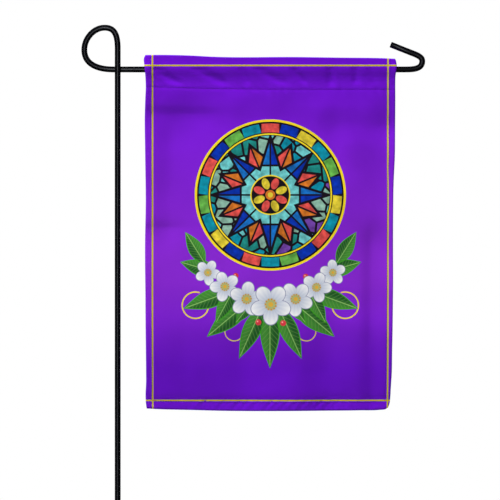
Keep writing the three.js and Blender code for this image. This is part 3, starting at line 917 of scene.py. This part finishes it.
def heart_layer(tree, under, x, y, radius, grain):
    """The middle of the medallion: a ring of small petals round a golden boss."""
    along, across, number = folded(x, y, HEART["petals"], 0.5)
    long, wide = HEART["petal"]
    colour = paint(tree, under, LEAD, radius.below(HEART["radius"]))
    petal = length_of((along - HEART["petals_at"]) / long, across / wide).below(1, 0.08)
    tone = paint(tree, GLASS["lemon"], GLASS["coral"], number.wrap(2.0).above(0.5))
    colour = glass_pane(tree, colour, tone, petal, grain)
    colour = paint(tree, colour, BRIGHT_GOLD, abs(radius - HEART["radius"]).below(HEART["ring"] / 2))
    colour = glass_pane(tree, colour, GLASS["amber"], radius.below(HEART["boss"]), grain)
    return paint(tree, colour, GLASS["lemon"], radius.below(HEART["eye"]))


def band_layer(tree, under, x, y, radius, grain):
    """The outer band: small blocks of many colours between two rings."""
    along, across, number = folded(x, y, BAND["panes"], 0.5)
    inside = radius.above(BAND["inner"] + BAND["inner_lead"]) * radius.below(BAND["outer"])
    half = abs(across).below(BAND["outer"] * math.tan(math.pi / BAND["panes"]) - BAND["side_lead"])
    tone = GLASS["deep"]
    for name, first in (("lemon", 0.5), ("teal", 1.5), ("coral", 2.5)):
        tone = paint(tree, tone, GLASS[name], number.wrap(4.0).above(first))
    tone = paint(tree, tone, GLASS["lime"], abs(number.wrap(6.0) - 5.0).below(0.5))
    colour = paint(tree, under, LEAD, radius.above(BAND["inner"]) * radius.below(MEDALLION["radius"]))
    return glass_pane(tree, colour, tone, inside * half, grain)


def drawn_shape(name, draw):
    """A node group that draws one shape in its own coordinates, and gives its colour and its cover."""
    group = bpy.data.node_groups.new(name, "ShaderNodeTree")
    group.interface.new_socket("Place", in_out="INPUT", socket_type="NodeSocketVector")
    group.interface.new_socket("Colour", in_out="OUTPUT", socket_type="NodeSocketColor")
    group.interface.new_socket("Cover", in_out="OUTPUT", socket_type="NodeSocketFloat")
    split = add_node(group, "SeparateXYZ", {0: group.nodes.new("NodeGroupInput").outputs["Place"]})
    colour, cover = draw(group, Field(group, split.outputs[0]), Field(group, split.outputs[1]))
    result = group.nodes.new("NodeGroupOutput")
    group.links.new(colour, result.inputs["Colour"])
    group.links.new(cover.socket, result.inputs["Cover"])
    return group


def stamp(tree, under, shape, place, at, angle, size):
    """One copy of a drawn shape on the print, moved, turned and scaled."""
    turn = (0.0, 0.0, math.radians(angle))
    inputs = {"Vector": place, "Location": (*at, 0.0), "Rotation": turn, "Scale": (*size, 1.0)}
    mapping = add_node(tree, "Mapping", inputs, vector_type="TEXTURE")
    node = add_node(tree, "Group", {"Place": mapping.outputs["Vector"]}, node_tree=shape)
    return paint(tree, under, node.outputs["Colour"], Field(tree, node.outputs["Cover"]))


def draw_leaf(tree, x, y):
    """A pointed leaf from 0 to 1 along x, with a pale rib, side veins and a bright edge."""
    share = x.maths("ADD", 0.0, clamp=True)
    outside = abs(y) - (share**0.8 * math.pi).sin()
    veins = ((x - abs(y) * 0.17) * 75).sin().above(0.82, 0.3) * 0.35
    colour = paint(tree, srgb(34, 92, 38), srgb(70, 146, 54), y.above(0, 0.8))
    colour = paint(tree, colour, srgb(124, 180, 90), veins)
    colour = paint(tree, colour, srgb(150, 205, 110), abs(y).below(0.04, 0.03))
    colour = paint(tree, colour, srgb(64, 170, 30), outside.above(-0.13, 0.05))
    return colour, outside.below(-0.02, 0.04)


def draw_blossom(tree, x, y):
    """An open blossom of radius 1: five rounded white petals, grey-blue shading and an ochre eye."""
    along, across, _ = folded(x, y, 5)
    radius = length_of(x, y)
    petal = length_of((along - 0.56) / 0.44, across / 0.37)
    rays = ((across / (along + 0.12)) * 22.0).sin() * 0.05
    shade = (0.98 - along * 1.0 + rays).maths("ADD", 0.0, clamp=True)
    colour = paint(tree, srgb(252, 252, 252), srgb(164, 178, 206), shade)
    colour = paint(tree, colour, srgb(132, 138, 176), petal.above(0.92, 0.08))
    colour = paint(tree, colour, srgb(176, 186, 120), radius.below(0.27, 0.12))
    dot_along, dot_across, _ = folded(x, y, 11)
    dots = length_of(dot_along - 0.25, dot_across).below(0.045, 0.03)
    colour = paint(tree, colour, srgb(214, 150, 40), dots)
    colour = paint(tree, colour, srgb(226, 176, 60), radius.below(0.12, 0.04))
    return colour, petal.below(1, 0.02).max(radius.below(0.3, 0.02))


def draw_berry(tree, x, y):
    """A round coral berry of radius 1 with a light spot."""
    spot = length_of(x + 0.28, y + 0.3).below(0.25, 0.2)
    return paint(tree, srgb(220, 58, 70), srgb(255, 190, 170), spot), length_of(x, y).below(1, 0.08)


def draw_tendril(tree, x, y):
    """A thin gold curl of radius 1: three quarters of a ring."""
    line = abs(length_of(x, y) - 1.0).below(0.05, 0.02) * y.maths("ARCTAN2", x).above(-1.9, 0.1)
    return paint(tree, BRIGHT_GOLD, BRIGHT_GOLD, line), line


def border_layer(tree, under, x, y, tone):
    """The four straight gold lines, which cross near the corners and run out to the edges."""
    half = BORDER["width"] / 2
    colour = under
    for place, middle in ((x, "left_x"), (x, "right_x"), (y, "top_down"), (y, "bottom_down")):
        colour = paint(tree, colour, tinted(tree, GOLD, tone), abs(place - BORDER[middle]).below(half, 0.4))
    return colour


def print_and_sheen_colour(tree, x, y):
    """The whole print, from the purple ground up, with a painted sheen over the ground's middle."""
    tone = mottle(tree, x, y, 60.0, 0.96, 1.04, 1.0)
    # Painted sheen: the ground is lighter and redder down the middle, where the light falls brightest.
    painted_sheen = y.above(*SHEEN_RISE) * y.below(*SHEEN_FALL)
    colour = tinted(tree, paint(tree, GROUND, PAINTED_SHEEN, painted_sheen), tone)
    place = place_vector(tree, x, y)
    tendril = drawn_shape("tendril", draw_tendril)
    for at_x, at_down, size in TENDRILS:
        outward = math.copysign(size, at_x - MEDALLION["x"])
        colour = stamp(tree, colour, tendril, place, (at_x, at_down), 0, (outward, size))
    colour = medallion_layer(tree, colour, x, y)
    leaf = drawn_shape("leaf", draw_leaf)
    for at_x, at_down, angle, length, half_width in LEAVES:
        colour = stamp(tree, colour, leaf, place, (at_x, at_down), angle, (length, half_width))
    berry = drawn_shape("berry", draw_berry)
    for at_x, at_down, size in BERRIES:
        colour = stamp(tree, colour, berry, place, (at_x, at_down), 0, (size, size))
    blossom = drawn_shape("blossom", draw_blossom)
    for at_x, at_down, size, turn in BLOSSOMS:
        colour = stamp(tree, colour, blossom, place, (at_x, at_down), turn, (size, size))
    return border_layer(tree, colour, x, y, tone)


# Materials


def new_material(name):
    material = bpy.data.materials.new(name)
    material.use_nodes = True
    tree = material.node_tree
    return material, tree, tree.nodes["Principled BSDF"]


def object_place(tree, scale):
    """Noise coordinates fixed to the object, in units of 1 / scale metres."""
    place = add_node(tree, "TexCoord", {}).outputs["Object"]
    return add_node(tree, "Mapping", {"Vector": place, "Scale": (scale, scale, scale)}).outputs["Vector"]


def bump_from(tree, shader, height, strength, distance):
    node = add_node(tree, "Bump", {"Strength": strength, "Distance": distance, "Height": height})
    tree.links.new(node.outputs["Normal"], shader.inputs["Normal"])


# The weave, the lighter hems, and a faint band of painted shade over and below the arm, partly the arm
# showing through the thin cloth and partly the sleeve's shade below it, sized in millimetres
WEAVE = {"pitch": 0.45, "tone": 0.03}
HEM_LIGHTER = 0.07
ARM_SHADE_BAND = {"down": 2.5, "half": 5.5, "soft": 6.0, "dark": 0.17}


def cloth_material():
    """Printed satin polyester: the print, a fine weave, lighter hems and a faint band of painted shade over
    and below the arm.
    """
    material, tree, shader = new_material("printed_polyester")
    coordinates = add_node(tree, "UVMap", {}, uv_map="print")
    split = add_node(tree, "SeparateXYZ", {0: coordinates.outputs["UV"]})
    x = Field(tree, split.outputs[0]) / MM
    y = Field(tree, split.outputs[1]) / MM
    warp = (x * (2 * math.pi / WEAVE["pitch"])).sin()
    weft = (y * (2 * math.pi / WEAVE["pitch"])).sin()
    weave = warp * weft
    hem = x.below(BORDER["left_x"]).max(x.above(BORDER["right_x"])).max(y.above(BORDER["bottom_down"]))
    # Painted shade: a faint dark band over the arm and below it, partly the arm showing through and partly
    # the sleeve's shade.
    arm = abs(y - ARM_SHADE_BAND["down"]).below(ARM_SHADE_BAND["half"], ARM_SHADE_BAND["soft"])
    shade = 1 + hem * HEM_LIGHTER - arm * ARM_SHADE_BAND["dark"]
    colour = tinted(tree, print_and_sheen_colour(tree, x, y), shade + weave * WEAVE["tone"])
    tree.links.new(colour, shader.inputs["Base Color"])
    slubs = mottle(tree, x * 0.15, y, 1.6, 0.52, 0.64, 2.0)
    tree.links.new(slubs.socket, shader.inputs["Roughness"])
    shader.inputs["Specular IOR Level"].default_value = 0.15
    bump_from(tree, shader, weave.socket, 0.25, 0.00006)
    return material


def thread_material():
    """Purple polyester thread with a twist, darker than the cloth: partly its own dye and partly painted
    shade along the stitch lines.
    """
    material, tree, shader = new_material("purple_thread")
    twist = add_node(tree, "TexWave", {"Scale": 1.0, "Vector": object_place(tree, 1800.0)})
    tone = Field(tree, twist.outputs["Fac"]) * 0.3 + 0.75
    # The thread's dark purple is partly painted shade, so that the lines of stitches read dark.
    tree.links.new(tinted(tree, srgb(84, 14, 150), tone), shader.inputs["Base Color"])
    shader.inputs["Roughness"].default_value = 0.5
    bump_from(tree, shader, twist.outputs["Fac"], 0.4, 0.00005)
    return material


def enamel_material():
    """Satin black enamel on wire, with a fine orange-peel skin and uneven gloss."""
    material, tree, shader = new_material("black_enamel")
    skin = add_node(tree, "TexNoise", {"Scale": 1.0, "Detail": 3.0, "Vector": object_place(tree, 1400.0)})
    patches = add_node(tree, "TexNoise", {"Scale": 1.0, "Vector": object_place(tree, 60.0)})
    uneven = Field(tree, patches.outputs["Fac"])
    tree.links.new((uneven * 0.14 + 0.2).socket, shader.inputs["Roughness"])
    tree.links.new(tinted(tree, srgb(5, 5, 8), uneven * 0.4 + 0.8), shader.inputs["Base Color"])
    bump_from(tree, shader, skin.outputs["Fac"], 0.12, 0.0002)
    return material


# The floor and the world's light, in metres and linear colour
FLOOR = {"radius": 1.2, "x": 0.17, "below_tips": 0.002, "colour": (0.74, 0.74, 0.75, 1.0)}
WORLD_LIGHT = {"colour": (0.8, 0.86, 1.0, 1.0), "strength": 0.04}


def floor_material():
    material, tree, shader = new_material("pale_floor")
    grain = add_node(tree, "TexNoise", {"Scale": 3.0})
    tone = Field(tree, grain.outputs["Fac"]) * 0.03 + 0.97
    tree.links.new(tinted(tree, FLOOR["colour"], tone), shader.inputs["Base Color"])
    shader.inputs["Roughness"].default_value = 0.9
    return material


# Stage, light and camera


def make_floor():
    """A pale round floor under the stake's points."""
    shape = bmesh.new()
    bmesh.ops.create_circle(shape, cap_ends=True, segments=96, radius=FLOOR["radius"])
    floor = shape_object("floor", shape)
    floor.location = (FLOOR["x"], 0.0, -STAKE_DEPTH * MM - FLOOR["below_tips"])
    floor.data.materials.append(floor_material())
    floor.visible_glossy = False


def make_world():
    """Soft even light from all round, and a plain white backdrop for the camera."""
    world = bpy.data.worlds.new("studio")
    bpy.context.scene.world = world
    world.use_nodes = True
    tree = world.node_tree
    light = tree.nodes["Background"]
    light.inputs["Color"].default_value = WORLD_LIGHT["colour"]
    light.inputs["Strength"].default_value = WORLD_LIGHT["strength"]
    backdrop = add_node(tree, "Background", {"Color": (1.0, 1.0, 1.0, 1.0), "Strength": 1.0})
    seen = add_node(tree, "LightPath", {}).outputs["Is Camera Ray"]
    mix = add_node(tree, "MixShader", {0: seen, 1: light.outputs[0], 2: backdrop.outputs[0]})
    tree.links.new(mix.outputs[0], tree.nodes["World Output"].inputs["Surface"])


# Lamps: azimuth from the camera's side, positive to the right, elevation, distance, width and height,
# spread, watts, colour, and whether the wire mirrors it
LIGHT_AIM = Vector((0.19, 0.0, 0.52))
LAMPS = {
    "key": (-45, 60, 4.0, (0.9, 0.9), 40, 13.3, (1.0, 0.99, 0.97), False),
    "tall_front": (-8, 8, 2.8, (0.32, 2.4), 120, 5.6, (0.88, 0.91, 1.0), True),
    "rear": (170, 35, 2.6, (1.6, 1.6), 120, 12, (1.0, 1.0, 1.0), False),
}


def add_lamp(name, azimuth, elevation, distance, size, spread, watts, colour, mirrored):
    """An elliptical area lamp aimed at the flag."""
    data = bpy.data.lights.new(name, "AREA")
    data.shape = "ELLIPSE"
    data.size, data.size_y = size
    data.spread = math.radians(spread)
    data.energy = watts
    data.color = colour
    lamp = add_object(name, data)
    across, up = math.radians(azimuth), math.radians(elevation)
    level = math.cos(up)
    away = Vector((level * math.sin(across), -level * math.cos(across), math.sin(up)))
    lamp.location = LIGHT_AIM + away * distance
    lamp.rotation_mode = "QUATERNION"
    lamp.rotation_quaternion = (-away).to_track_quat("-Z", "Y")
    lamp.visible_glossy = mirrored


def make_lights():
    """A key lamp from above and left, a tall narrow one in front that the wire mirrors, and one behind."""
    for name, lamp in LAMPS.items():
        add_lamp(name, *lamp)


def make_camera():
    """A face-on view through a long lens, framed as the photograph is."""
    data = bpy.data.cameras.new("camera")
    data.lens = VIEW["lens"]
    data.sensor_width = VIEW["sensor"]
    camera = add_object("camera", data)
    distance = VIEW["width"] * VIEW["lens"] / VIEW["sensor"]
    camera.location = Vector((VIEW["x"], ARM_Y - distance, VIEW["z"])) * MM
    camera.rotation_euler = (math.radians(90), 0, 0)
    bpy.context.scene.camera = camera


def finish_cloth(cloth, stitching):
    solid = cloth.modifiers.new("thickness", "SOLIDIFY")
    solid.thickness = SHEET * MM
    solid.offset = 0.0
    cloth.data.materials.append(cloth_material())
    stitching.data.materials.append(thread_material())
    for piece in (cloth, stitching):
        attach(piece, "root")
    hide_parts("flag_cloth")


def finish_stand(wire, prong, bar, beads):
    """Enamels the stand's pieces and puts them on the one body."""
    enamel = enamel_material()
    for piece in (wire, prong, bar, *beads):
        piece.data.materials.append(enamel)
        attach(piece, "root")
    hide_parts("stand_rod")
    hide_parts("ground_prong")


def main():
    bpy.context.scene.view_settings.view_transform = "Standard"
    make_camera()
    make_world()
    make_lights()
    make_floor()
    wire = make_wire("bent_wire", stand_path(), END_ROUNDING["stand"])
    prong = make_wire("second_prong", prong_path(), END_ROUNDING["prong"])
    finish_stand(wire, prong, make_step_bar(), make_welds())
    finish_cloth(make_cloth(), make_stitching())


main()
